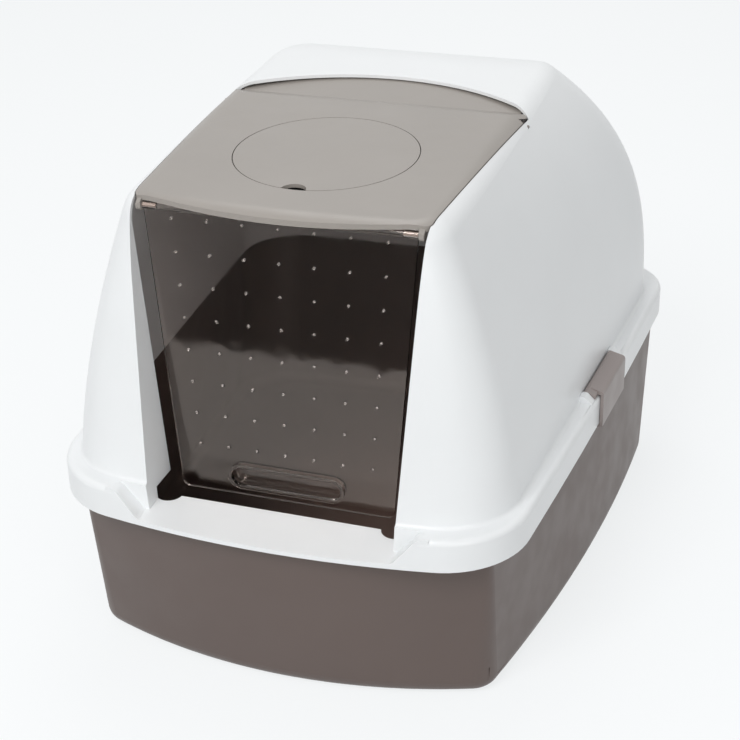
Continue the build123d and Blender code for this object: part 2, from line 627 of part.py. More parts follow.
# Access panel
with BuildPart() as access_panel:
    extrude(panel_plan(0, panel_low_z).face(), amount=reach)
    with BuildSketch(Plane.XY.offset(panel_low_z)):
        with Locations((0, PANEL_FOLD_Y - reach / 2)):
            Rectangle(reach, reach)
    extrude(amount=reach, mode=Mode.INTERSECT)
    add(hood_outer, mode=Mode.INTERSECT)
    add(hood_form(PANEL_THICKNESS), mode=Mode.SUBTRACT)
    add(tongue.part)
    with BuildSketch(top_plane.offset(-seat_depth - CUP_SEAT_THICKNESS)):
        Circle(CUP_SEAT_RADIUS + CUP_SEAT_RING)
    extrude(amount=CUP_SEAT_THICKNESS)
    with BuildSketch(top_plane.offset(-CUP_DEPTH)):
        Circle(CUP_SEAT_RADIUS + CUP_WALL)
    extrude(amount=CUP_DEPTH - seat_depth)
    with BuildSketch(top_plane.offset(-seat_depth)):
        Circle(LID_RADIUS + PANEL_GAP)
    extrude(amount=CUP_DEPTH, mode=Mode.SUBTRACT)
    with BuildSketch(top_plane.offset(-cup_floor_depth)):
        Circle(CUP_SEAT_RADIUS)
    extrude(amount=CUP_DEPTH, mode=Mode.SUBTRACT)
    with BuildSketch(top_plane.offset(-CUP_DEPTH)):
        Circle(CUP_SEAT_RADIUS - CUP_LEDGE)
    extrude(amount=CUP_DEPTH, mode=Mode.SUBTRACT)
    add(panel_lugs.part)
    mirror(panel_lugs.part, about=Plane.YZ)

# Grille on the cup's ledge
with BuildPart() as filter_grille:
    with BuildSketch(top_plane.offset(-grille_depth)):
        Circle(CUP_SEAT_RADIUS - REST_GAP)
        slot_radius = CUP_SEAT_RADIUS - CUP_LEDGE - GRILLE_BORDER
        slot_count = 2 * int(slot_radius / GRILLE_PITCH) + 1
        for index in range(slot_count):
            slot_x = (index - (slot_count - 1) / 2) * GRILLE_PITCH
            slot_length = 2 * math.sqrt(slot_radius**2 - slot_x**2)
            with Locations((slot_x, 0)):
                SlotOverall(slot_length + GRILLE_SLOT, GRILLE_SLOT, rotation=90, mode=Mode.SUBTRACT)
    extrude(amount=GRILLE_THICKNESS)

# Carbon filter on the grille
with BuildPart() as carbon_filter:
    with BuildSketch(top_plane.offset(-filter_depth)):
        Circle(CUP_SEAT_RADIUS - FILTER_GAP)
    extrude(amount=FILTER_THICKNESS)

# Filter lid
with BuildPart() as filter_lid:
    with BuildSketch(top_plane.offset(-LID_THICKNESS)):
        Circle(LID_RADIUS)
    extrude(amount=LID_THICKNESS)
    with BuildSketch(top_plane.offset(-LID_THICKNESS - LID_RIM_DEPTH)):
        Circle(CUP_SEAT_RADIUS - FILTER_GAP)
        Circle(CUP_SEAT_RADIUS - FILTER_GAP - LID_RIM_WALL, mode=Mode.SUBTRACT)
    extrude(amount=LID_RIM_DEPTH)
    with BuildSketch(top_plane):
        with Locations((0, -LID_RADIUS)):
            Circle(LID_NOTCH_RADIUS)
    extrude(amount=-CUP_DEPTH, mode=Mode.SUBTRACT)

# Door
with BuildPart() as door:
    with BuildSketch(door_plane):
        with BuildLine():
            Polyline(
                (-door_half, 0),
                (door_half, 0),
                (DOOR_BOTTOM_HALF, -DOOR_LENGTH),
                (-DOOR_BOTTOM_HALF, -DOOR_LENGTH),
                close=True,
            )
        sheet = make_face()
        fillet(sheet.vertices().sort_by(Axis.Y)[:2], DOOR_CORNER_RADIUS)
    extrude(amount=DOOR_THICKNESS / 2, both=True)
    with BuildSketch(Plane.YZ.offset(-door_half)):
        with Locations((DOOR_AXIS_Y, DOOR_AXIS_Z)):
            Circle(DOOR_BARREL_RADIUS)
    extrude(amount=2 * door_half)
    with BuildSketch(door_plane.offset(DOOR_THICKNESS / 2)):
        for row in range(DOT_ROWS):
            dot_half = DOT_TOP_HALF + (DOT_BOTTOM_HALF - DOT_TOP_HALF) * row / (DOT_ROWS - 1)
            for column in range(DOT_COLUMNS):
                dot_x = dot_half * (2 * column / (DOT_COLUMNS - 1) - 1)
                with Locations((dot_x, -DOT_FIRST_DROP - DOT_ROW_PITCH * row)):
                    Circle(DOT_RADIUS)
    extrude(amount=DOT_HEIGHT)
    with BuildSketch(door_plane.offset(DOOR_THICKNESS / 2)):
        with Locations((0, -grip_drop)):
            SlotOverall(GRIP_LENGTH, GRIP_HEIGHT)
    extrude(amount=GRIP_RIM_PROUD)
    with BuildSketch(door_plane.offset(-DOOR_THICKNESS / 2)):
        with Locations((0, -grip_drop)):
            SlotOverall(grip_inner_length + 2 * GRIP_WALL, grip_inner_height + 2 * GRIP_WALL)
    extrude(amount=-GRIP_DEPTH)
    with BuildSketch(door_plane.offset(DOOR_THICKNESS / 2 + GRIP_RIM_PROUD)):
        with Locations((0, -grip_drop)):
            SlotOverall(grip_inner_length, grip_inner_height)
    extrude(amount=GRIP_WALL - GRIP_DEPTH - DOOR_THICKNESS - GRIP_RIM_PROUD, mode=Mode.SUBTRACT)
    for side in (-1, 1):
        with BuildSketch(Plane.YZ.offset(side * door_half)):
            with Locations((DOOR_AXIS_Y, DOOR_AXIS_Z)):
                Circle(DOOR_PIN_RADIUS + PRESS_GAP)
        extrude(amount=-side * (DOOR_PIN_EMBED + END_GAP), mode=Mode.SUBTRACT)

# Pins: the door's turn in the panel's lugs, the panel's ears turn on pins held by the hood's bosses
with BuildPart() as door_pin_right:
    with BuildSketch(Plane.YZ.offset(door_half - DOOR_PIN_EMBED)):
        with Locations((DOOR_AXIS_Y, DOOR_AXIS_Z)):
            Circle(DOOR_PIN_RADIUS)
    extrude(amount=DOOR_PIN_EMBED + DOOR_END_GAP + DOOR_LUG_WIDTH)
with BuildPart() as door_pin_left:
    mirror(door_pin_right.part, about=Plane.YZ)
with BuildPart() as panel_pin_right:
    with BuildSketch(Plane.YZ.offset(PANEL_EAR_X)):
        with Locations((PANEL_AXIS_Y, PANEL_AXIS_Z)):
            Circle(PANEL_PIN_RADIUS)
    extrude(amount=boss_x + PANEL_PIN_EMBED - END_GAP - PANEL_EAR_X)
with BuildPart() as panel_pin_left:
    mirror(panel_pin_right.part, about=Plane.YZ)
with BuildPart() as latch_pin_right:
    pin_end = hole_end - END_GAP / 2
    with BuildSketch(clip_section.offset(-pin_end)):
        with Locations(clip_axis):
            Circle(CLIP_PIN_RADIUS)
    extrude(amount=pin_end + END_GAP / 2 + CLIP_PIN_EMBED - CLIP_FRONT)
with BuildPart() as latch_pin_left:
    mirror(latch_pin_right.part, about=Plane.YZ)

# Clips: a saddle over the flange, an arm down its band, and a lip that reaches in under the pan's rib
with BuildPart() as latch_right:
    saddle_low_z = clip_axis_z - CLIP_BARREL_RADIUS
    arm_outer = CLIP_GAP + CLIP_THICKNESS
    arm_top_z = saddle_low_z + CLIP_THICKNESS
    with BuildSketch(clip_section.offset(-CLIP_REAR)):
        with Locations(clip_axis):
            Circle(CLIP_BARREL_RADIUS)
        Polygon(
            (-CLIP_AXIS_IN, saddle_low_z),
            (CLIP_PLATE_OUT, saddle_low_z),
            (CLIP_PLATE_OUT, arm_top_z),
            (-CLIP_AXIS_IN, clip_axis_z + CLIP_BARREL_RADIUS),
            align=None,
        )
    extrude(amount=CLIP_REAR - CLIP_FRONT)
    with BuildSketch(clip_section.offset(-CLIP_REAR)) as arm_section:
        with Locations(clip_axis):
            Circle(clip_lip_radius + CLIP_THICKNESS)
            Circle(clip_lip_radius, mode=Mode.SUBTRACT)
        with Locations(((arm_outer - CLIP_LIP_IN) / 2, FLANGE_LOW_Z)):
            Rectangle(arm_outer + CLIP_LIP_IN, 3 * CLIP_THICKNESS, mode=Mode.INTERSECT)
        with Locations(((arm_outer + CLIP_GAP) / 2, (arm_top_z + FLANGE_LOW_Z) / 2)):
            Rectangle(CLIP_THICKNESS, arm_top_z - FLANGE_LOW_Z)
        Polygon(
            (-CLIP_AXIS_IN, saddle_low_z),
            (arm_outer, saddle_low_z),
            (arm_outer, arm_top_z),
            (-CLIP_AXIS_IN, clip_axis_z + CLIP_BARREL_RADIUS),
            align=None,
        )
        corner = arm_section.vertices().filter_by(lambda v: v.X > arm_outer - 0.01 and v.Y > arm_top_z - 0.01)
        fillet(corner, CLIP_CORNER_RADIUS)
    extrude(amount=CLIP_REAR - CLIP_ARM_FRONT)
    with BuildSketch(clip_section.offset(-hole_end)):
        with Locations(clip_axis):
            Circle(CLIP_PIN_RADIUS + RUN_GAP)
    extrude(amount=2 * hole_end, mode=Mode.SUBTRACT)
with BuildPart() as latch_left:
    mirror(latch_right.part, about=Plane.YZ)

pieces = {
    "pan": pan,
    "hood": hood,
    "access_panel": access_panel,
    "filter_grille": filter_grille,
    "carbon_filter": carbon_filter,
    "filter_lid": filter_lid,
    "door": door,
    "door_pin_left": door_pin_left,
    "door_pin_right": door_pin_right,
    "panel_pin_left": panel_pin_left,
    "panel_pin_right": panel_pin_right,
    "latch_left": latch_left,
    "latch_right": latch_right,
    "latch_pin_left": latch_pin_left,
    "latch_pin_right": latch_pin_right,
}
for name, piece in pieces.items():
    piece.part.label = name
    export_step(piece.part, f"parts/{name}.step")
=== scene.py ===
"""Finishes a covered litter box in Blender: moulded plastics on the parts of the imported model, the
rows of small pips on its door, and a plain studio that shows it from the photograph's angle.

It is laid out as an add-on and run as a script. All lengths are metres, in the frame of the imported
model: the box stands on Z = 0, its door faces -Y, and its clips are on its +X and -X sides.
"""

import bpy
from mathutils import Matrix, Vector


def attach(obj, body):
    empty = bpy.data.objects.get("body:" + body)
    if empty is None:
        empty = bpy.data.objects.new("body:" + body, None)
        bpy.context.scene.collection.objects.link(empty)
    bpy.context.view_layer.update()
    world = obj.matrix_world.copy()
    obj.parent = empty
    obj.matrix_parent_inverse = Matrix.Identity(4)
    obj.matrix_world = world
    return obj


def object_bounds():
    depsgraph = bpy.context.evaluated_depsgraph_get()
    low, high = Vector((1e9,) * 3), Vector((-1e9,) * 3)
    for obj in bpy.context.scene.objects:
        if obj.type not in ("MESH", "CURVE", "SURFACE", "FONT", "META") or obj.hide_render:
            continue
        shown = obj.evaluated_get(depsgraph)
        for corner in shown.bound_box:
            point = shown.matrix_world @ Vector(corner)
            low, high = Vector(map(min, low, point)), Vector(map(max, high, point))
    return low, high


bl_info = {
    "name": "Covered Litter Box Finish",
    "version": (1, 0, 0),
    "blender": (4, 5, 0),
    "location": "3D View > Sidebar > Litter Box",
    "description": "Plastics, door pips and a studio for a covered litter box",
    "category": "Object",
}

import math

import bpy
from bpy.props import FloatProperty, FloatVectorProperty, IntProperty, PointerProperty
from mathutils import Matrix, Vector

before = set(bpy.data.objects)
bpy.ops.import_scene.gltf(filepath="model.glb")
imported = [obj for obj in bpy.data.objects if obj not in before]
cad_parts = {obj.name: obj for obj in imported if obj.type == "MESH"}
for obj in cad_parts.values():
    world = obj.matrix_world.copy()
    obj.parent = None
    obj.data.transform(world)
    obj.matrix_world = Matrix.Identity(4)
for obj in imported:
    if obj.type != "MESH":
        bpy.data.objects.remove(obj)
CAD_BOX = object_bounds()

MM = 0.001
BOX_LOW = Vector(CAD_BOX[0])
BOX_HIGH = Vector(CAD_BOX[1])
BOX_MIDDLE = (BOX_LOW + BOX_HIGH) / 2

# The door's hinge line, its lean at rest, and half its thickness
DOOR_AXIS = Vector((0, -210 * MM, 392 * MM))
DOOR_HANG = math.radians(2.5)
DOOR_FACE = 1.3 * MM

# Shares of a pip's height: the bevel that rounds its top, and the part that is sunk in the door
PIP_BEVEL = 0.85
PIP_SUNK = 0.1

# The studio: the softboxes' places and widths, and the line on the paper where a dim room is painted into
# reflections, with its blur
KEY_PLACE = Vector((-0.45, -2.2, 2.4))
FILL_PLACE = Vector((1.7, -2.1, 1.1))
TOP_PLACE = Vector((-0.3, 1.0, 2.2))
SOFTBOX_WIDTH = 1.2
FLOOR_RADIUS = 8
PAINTED_ROOM_EDGE_Y = -838 * MM
PAINTED_ROOM_EDGE_BLUR = 5 * MM

# Tones of the paper: as it lights the box, as it takes a shadow, its own glow, and the glow of the dim room
# painted into its reflections
PAPER_TONE = 0.75
PAPER_SHADOW_TONE = 0.22
PAPER_GLOW = 0.85
PAINTED_ROOM_GLOW = 0.1


def linear(hex_colour):
    """The linear RGB of an sRGB hex colour such as #aaa59f."""
    channels = [int(hex_colour[i : i + 2], 16) / 255 for i in (1, 3, 5)]
    return tuple(c / 12.92 if c <= 0.04045 else ((c + 0.055) / 1.055) ** 2.4 for c in channels)


def colour_setting(name, description, hex_colour):
    """A colour that a user can change, written as its sRGB hex value."""
    return FloatVectorProperty(
        name=name, description=description, subtype="COLOR", min=0, max=1, default=linear(hex_colour)
    )


def length_setting(name, description, default):
    """A length that a user can change, in metres."""
    return FloatProperty(
        name=name, description=description, unit="LENGTH", subtype="DISTANCE", min=0, default=default
    )


def power_setting(name, description, default):
    """A lamp's power that a user can change, in watts."""
    return FloatProperty(name=name, description=description, subtype="POWER", min=0, default=default)


class LitterBoxColours(bpy.types.PropertyGroup):
    """The colours of the plastics."""

    pan: colour_setting("Pan", "Taupe brown of the lower pan", "#625550")
    hood: colour_setting("Hood", "Cool white of the hood", "#f0f2f3")
    panel: colour_setting("Panel", "Warm grey of the lift-up panel and its lid", "#9d9791")
    door: colour_setting("Door", "Smoke tint of the clear door", "#f7f0ec")
    clip: colour_setting("Clip", "Warm grey of the side clips", "#968c89")
    pin: colour_setting("Pin", "Grey of the hinge pins", "#857d78")
    carbon: colour_setting("Carbon", "Charcoal of the filter felt", "#1d1d1e")


class LitterBoxGrain(bpy.types.PropertyGroup):
    """The sizes of the marks that moulding leaves on the plastics."""

    orange_peel: length_setting("Orange peel", "Width of the soft waves on glossy plastic", 9 * MM)
    spark: length_setting("Spark grain", "Width of the grains on satin plastic", 1.6 * MM)
    flow: length_setting("Flow clouds", "Width of the faint clouds where the melt flowed", 90 * MM)
    felt: length_setting("Felt fibre", "Width of the tufts in the filter felt", 1.8 * MM)


class LitterBoxPips(bpy.types.PropertyGroup):
    """The rows of small pips on the door, whose columns draw together downwards as its edges do."""

    radius: length_setting("Radius", "Radius of a pip at its foot", 0.9 * MM)
    height: length_setting("Height", "How far a pip stands out of the door", 0.4 * MM)
    first_row: length_setting("First row", "From the door's hinge down to the first row", 8.2 * MM)
    row_pitch: length_setting("Row pitch", "From one row to the next", 27.4 * MM)
    top_half: length_setting("Top half width", "From the middle to the last pip of the first row", 87 * MM)
    foot_half: length_setting("Foot half width", "From the middle to the last pip of the last row", 73.5 * MM)
    rows: IntProperty(name="Rows", description="How many rows there are", min=2, default=8)
    columns: IntProperty(name="Columns", description="How many pips a row has", min=2, default=7)


class LitterBoxStudio(bpy.types.PropertyGroup):
    """The camera, as worked out from the photograph, and the lamps."""

    azimuth: FloatProperty(
        name="Azimuth",
        description="Turn of the camera about the box, from its front towards its right side",
        subtype="ANGLE",
        default=math.radians(19.23),
    )
    elevation: FloatProperty(
        name="Elevation",
        description="How far the camera looks down",
        subtype="ANGLE",
        default=math.radians(27.95),
    )
    roll: FloatProperty(
        name="Roll",
        description="Tilt of the photograph",
        subtype="ANGLE",
        default=math.radians(-1.42),
    )
    distance: length_setting("Distance", "From the camera to the point it looks at", 1483.39 * MM)
    aim_height: length_setting("Aim height", "Height of the point that the camera looks at", 162.5 * MM)
    aim_forward: length_setting("Aim forward", "How far that point is in front of the box's middle", 9.7 * MM)
    lens: FloatProperty(
        name="Lens",
        description="Focal length in millimetres on a 36 mm wide sensor",
        subtype="DISTANCE_CAMERA",
        default=78.93,
    )
    key_power: power_setting("Key lamp", "Power of the main softbox, at the front left", 44)
    fill_power: power_setting("Fill lamp", "Power of the weaker softbox at the front right", 10)
    top_power: power_setting("Top lamp", "Power of the softbox above", 10)
    ambient: FloatProperty(
        name="Ambient", description="Strength of the even light all round", min=0, default=0.45
    )
    backdrop: colour_setting("Backdrop", "Colour of the background behind the box", "#f4f6f7")


def add_node(tree, kind, inputs=None, **settings):
    """Adds a node with its settings. Each input takes a value, or the output socket that feeds it."""
    node = tree.nodes.new(kind)
    for name, value in settings.items():
        setattr(node, name, value)
    for name, value in (inputs or {}).items():
        if isinstance(value, bpy.types.NodeSocket):
            tree.links.new(value, node.inputs[name])
        else:
            node.inputs[name].default_value = value
    return node


def new_material(name):
    """An empty node material with its output node."""
    material = bpy.data.materials.new(name)
    material.use_nodes = True
    material.node_tree.nodes.clear()
    return material, material.node_tree


def shaded(colour, factor):
    """A colour made darker or lighter by a factor, as RGBA."""
    return (*[min(1.0, c * factor) for c in colour], 1.0)


def cloud_noise(tree, width, detail=2.0):
    """Noise whose clouds are about as wide as given, in metres, on the part's own coordinates."""
    place = add_node(tree, "ShaderNodeTexCoord")
    return add_node(
        tree,
        "ShaderNodeTexNoise",
        {"Vector": place.outputs["Object"], "Scale": 1 / width, "Detail": detail, "Roughness": 0.5},
    )


def spread(tree, factor, low, high):
    """Maps noise from its usual range to a range of numbers."""
    return add_node(
        tree,
        "ShaderNodeMapRange",
        {"Value": factor, "From Min": 0.25, "From Max": 0.75, "To Min": low, "To Max": high},
        interpolation_type="SMOOTHSTEP",
    ).outputs["Result"]


def clouded_colour(tree, colour, width, contrast):
    """A colour with faint lighter and darker clouds, as where coloured melt met in the mould."""
    clouds = cloud_noise(tree, width)
    ramp = add_node(tree, "ShaderNodeValToRGB", {"Fac": clouds.outputs["Fac"]})
    ramp.color_ramp.elements[0].position = 0.3
    ramp.color_ramp.elements[0].color = shaded(colour, 1 - contrast)
    ramp.color_ramp.elements[1].position = 0.7
    ramp.color_ramp.elements[1].color = shaded(colour, 1 + contrast)
    return ramp.outputs["Color"]


def gloss_polypropylene(name, colour, grain):
    """Injection-moulded polypropylene from a polished mould.

    It has a soft gloss: a milky white body, a clear reflection that is a little wavy from orange
    peel, and faint clouds of colour.
    """
    material, tree = new_material(name)
    peel = cloud_noise(tree, grain.orange_peel, detail=1.0)
    bump = add_node(
        tree,
        "ShaderNodeBump",
        {"Height": peel.outputs["Fac"], "Strength": 0.15, "Distance": 0.1 * MM},
    )
    handling = cloud_noise(tree, grain.flow / 2, detail=0.0)
    shader = add_node(
        tree,
        "ShaderNodeBsdfPrincipled",
        {
            "Base Color": clouded_colour(tree, colour, grain.flow, 0.012),
            "Roughness": spread(tree, handling.outputs["Fac"], 0.28, 0.32),
            "IOR": 1.49,
            "Subsurface Weight": 0.06,
            "Subsurface Radius": (2.0, 2.0, 2.0),
            "Subsurface Scale": 1 * MM,
            "Normal": bump.outputs["Normal"],
        },
    )
    add_node(tree, "ShaderNodeOutputMaterial", {"Surface": shader.outputs["BSDF"]})
    return material


def satin_polypropylene(name, colour, grain, roughness=0.42, depth=0.05):
    """Injection-moulded polypropylene from a spark-eroded mould.

    It has a satin sheen: a fine, even grain that blurs the reflection, and faint clouds of colour.
    The real grain is about 0.2 mm, too fine to show, so it is drawn at the width of a pixel or two.
    """
    material, tree = new_material(name)
    sparks = cloud_noise(tree, grain.spark, detail=3.0)
    bump = add_node(
        tree,
        "ShaderNodeBump",
        {"Height": sparks.outputs["Fac"], "Strength": 0.5, "Distance": depth * MM},
    )
    handling = cloud_noise(tree, grain.flow / 3)
    shader = add_node(
        tree,
        "ShaderNodeBsdfPrincipled",
        {
            "Base Color": clouded_colour(tree, colour, grain.flow, 0.03),
            "Roughness": spread(tree, handling.outputs["Fac"], roughness - 0.04, roughness + 0.05),
            "IOR": 1.49,
            "Normal": bump.outputs["Normal"],
        },
    )
    add_node(tree, "ShaderNodeOutputMaterial", {"Surface": shader.outputs["BSDF"]})
    return material


def smoked_styrene(name, colour, grain):
    """Smoke-tinted clear styrene acrylonitrile, moulded between polished plates.

    It is see-through and darkens what is behind it a little, with a sharp, slightly wavy reflection.
    Lamps shine through it into the box, as they do through real clear plastic.
    """
    material, tree = new_material(name)
    peel = cloud_noise(tree, grain.orange_peel * 2, detail=1.0)
    bump = add_node(
        tree,
        "ShaderNodeBump",
        {"Height": peel.outputs["Fac"], "Strength": 0.25, "Distance": 0.2 * MM},
    )
    handling = cloud_noise(tree, grain.flow / 3)
    shader = add_node(
        tree,
        "ShaderNodeBsdfPrincipled",
        {
            "Base Color": clouded_colour(tree, colour, grain.flow, 0.03),
            "Roughness": spread(tree, handling.outputs["Fac"], 0.02, 0.05),
            "IOR": 1.57,
            "Specular Tint": (1.0, 0.9, 0.83, 1.0),
            "Transmission Weight": 1.0,
            "Normal": bump.outputs["Normal"],
        },
    )
    path = add_node(tree, "ShaderNodeLightPath")
    let_through = add_node(tree, "ShaderNodeBsdfTransparent", {"Color": shaded(colour, 1.0)})
    mixed = add_node(
        tree,
        "ShaderNodeMixShader",
        {
            "Fac": path.outputs["Is Shadow Ray"],
            1: shader.outputs["BSDF"],
            2: let_through.outputs["BSDF"],
        },
    )
    add_node(tree, "ShaderNodeOutputMaterial", {"Surface": mixed.outputs["Shader"]})
    return material


def carbon_felt(name, colour, grain):
    """Needled polyester felt loaded with activated carbon.

    It is matt and charcoal black, with a tufted surface and small grey specks of fibre.
    """
    material, tree = new_material(name)
    tufts = cloud_noise(tree, grain.felt, detail=6.0)
    bump = add_node(
        tree,
        "ShaderNodeBump",
        {"Height": tufts.outputs["Fac"], "Strength": 1.0, "Distance": 0.8 * MM},
    )
    ramp = add_node(tree, "ShaderNodeValToRGB", {"Fac": tufts.outputs["Fac"]})
    ramp.color_ramp.elements[0].position = 0.4
    ramp.color_ramp.elements[0].color = shaded(colour, 0.6)
    ramp.color_ramp.elements[1].position = 0.75
    ramp.color_ramp.elements[1].color = shaded(colour, 3.0)
    shader = add_node(
        tree,
        "ShaderNodeBsdfPrincipled",
        {
            "Base Color": ramp.outputs["Color"],
            "Roughness": 0.95,
            "Sheen Weight": 0.3,
            "Sheen Roughness": 0.6,
            "Normal": bump.outputs["Normal"],
        },
    )
    add_node(tree, "ShaderNodeOutputMaterial", {"Surface": shader.outputs["BSDF"]})
    return material


def direct_view(tree, path):
    """One where the camera, a reflection or clear plastic looks at a surface, and zero for its light."""
    seen = add_node(
        tree,
        "ShaderNodeMath",
        {0: path.outputs["Is Camera Ray"], 1: path.outputs["Is Glossy Ray"]},
        operation="MAXIMUM",
    )
    return add_node(
        tree,
        "ShaderNodeMath",
        {0: seen.outputs["Value"], 1: path.outputs["Is Transmission Ray"]},
        operation="MAXIMUM",
    ).outputs["Value"]


def backdrop_material(name, colour):
    """Matt pale paper that a camera and a reflection see evenly lit, apart from the object's shadow.

    Past a line in front of the box, reflections of the paper show a painted dim room instead. This painted
    dark reflection is not seen by the camera, which sees paper there.
    """
    material, tree = new_material(name)
    path = add_node(tree, "ShaderNodeLightPath")
    paper = add_node(tree, "ShaderNodeBsdfDiffuse", {"Color": shaded(colour, PAPER_TONE)})
    shadow_paper = add_node(tree, "ShaderNodeBsdfDiffuse", {"Color": shaded(colour, PAPER_SHADOW_TONE)})
    glow = add_node(
        tree, "ShaderNodeEmission", {"Color": shaded(colour, 1.0), "Strength": PAPER_GLOW}
    )
    bright = add_node(
        tree, "ShaderNodeAddShader", {0: shadow_paper.outputs["BSDF"], 1: glow.outputs["Emission"]}
    )
    mixed = add_node(
        tree,
        "ShaderNodeMixShader",
        {"Fac": direct_view(tree, path), 1: paper.outputs["BSDF"], 2: bright.outputs["Shader"]},
    )
    # Painted reflection: glossy rays that meet the paper in front of the line see a dim glow, painted in as a
    # dark room
    place = add_node(tree, "ShaderNodeTexCoord")
    axes = add_node(tree, "ShaderNodeSeparateXYZ", {"Vector": place.outputs["Object"]})
    beyond_painted_edge = add_node(
        tree,
        "ShaderNodeMapRange",
        {
            "Value": axes.outputs["Y"],
            "From Min": PAINTED_ROOM_EDGE_Y - PAINTED_ROOM_EDGE_BLUR,
            "From Max": PAINTED_ROOM_EDGE_Y + PAINTED_ROOM_EDGE_BLUR,
            "To Min": 1.0,
            "To Max": 0.0,
        },
    )
    painted_room_share = add_node(
        tree,
        "ShaderNodeMath",
        {0: beyond_painted_edge.outputs["Result"], 1: path.outputs["Is Glossy Ray"]},
        operation="MULTIPLY",
    )
    painted_room = add_node(tree, "ShaderNodeEmission", {"Color": (1, 1, 1, 1), "Strength": PAINTED_ROOM_GLOW})
    staged = add_node(
        tree,
        "ShaderNodeMixShader",
        {"Fac": painted_room_share.outputs["Value"], 1: mixed.outputs["Shader"], 2: painted_room.outputs["Emission"]},
    )
    add_node(tree, "ShaderNodeOutputMaterial", {"Surface": staged.outputs["Shader"]})
    return material


def finish_nodes(material, *names):
    """Gives CAD nodes their plastic, in every material slot that they have."""
    for name in names:
        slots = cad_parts[name].material_slots
        for slot in slots:
            slot.material = material


class LITTERBOX_OT_finish_pan(bpy.types.Operator):
    """Gives the lower pan its satin taupe polypropylene"""

    bl_idname = "litterbox.finish_pan"
    bl_label = "Finish pan"

    def execute(self, context):
        scene = context.scene
        plastic = satin_polypropylene(
            "Polypropylene taupe satin", scene.litterbox_colours.pan, scene.litterbox_grain
        )
        finish_nodes(plastic, "pan")
        return {"FINISHED"}


class LITTERBOX_OT_finish_hood(bpy.types.Operator):
    """Gives the hood its glossy cool-white polypropylene"""

    bl_idname = "litterbox.finish_hood"
    bl_label = "Finish hood"

    def execute(self, context):
        scene = context.scene
        plastic = gloss_polypropylene(
            "Polypropylene white gloss", scene.litterbox_colours.hood, scene.litterbox_grain
        )
        finish_nodes(plastic, "hood")
        return {"FINISHED"}


class LITTERBOX_OT_finish_panel(bpy.types.Operator):
    """Gives the lift-up panel, its grille and its round lid their satin warm-grey polypropylene"""

    bl_idname = "litterbox.finish_panel"
    bl_label = "Finish panel and lid"

    def execute(self, context):
        scene = context.scene
        plastic = satin_polypropylene(
            "Polypropylene warm grey satin",
            scene.litterbox_colours.panel,
            scene.litterbox_grain,
            roughness=0.34,
            depth=0.03,
        )
        finish_nodes(plastic, "access_panel", "filter_grille", "filter_lid")
        return {"FINISHED"}


class LITTERBOX_OT_finish_filter(bpy.types.Operator):
    """Gives the filter disc its carbon felt"""

    bl_idname = "litterbox.finish_filter"
    bl_label = "Finish filter"

    def execute(self, context):
        scene = context.scene
        felt = carbon_felt("Carbon felt", scene.litterbox_colours.carbon, scene.litterbox_grain)
        finish_nodes(felt, "carbon_filter")
        return {"FINISHED"}


class LITTERBOX_OT_finish_door(bpy.types.Operator):
    """Gives the door its smoke-tinted clear plastic"""

    bl_idname = "litterbox.finish_door"
    bl_label = "Finish door"

    def execute(self, context):
        scene = context.scene
        plastic = smoked_styrene(
            "Styrene acrylonitrile smoked clear", scene.litterbox_colours.door, scene.litterbox_grain
        )
        finish_nodes(plastic, "door")
        return {"FINISHED"}


class LITTERBOX_OT_finish_clips(bpy.types.Operator):
    """Gives the side clips and all hinge pins their satin plastic"""

    bl_idname = "litterbox.finish_clips"
    bl_label = "Finish clips and hinge pins"

    def execute(self, context):
        scene = context.scene
        clip_plastic = satin_polypropylene(
            "Acetal warm grey satin", scene.litterbox_colours.clip, scene.litterbox_grain, depth=0.03
        )
        pin_plastic = satin_polypropylene(
            "Acetal grey satin", scene.litterbox_colours.pin, scene.litterbox_grain, depth=0.03
        )
        finish_nodes(clip_plastic, "latch_left", "latch_right")
        for part in ("door_pin", "panel_pin", "latch_pin"):
            finish_nodes(pin_plastic, f"{part}_left", f"{part}_right")
        return {"FINISHED"}


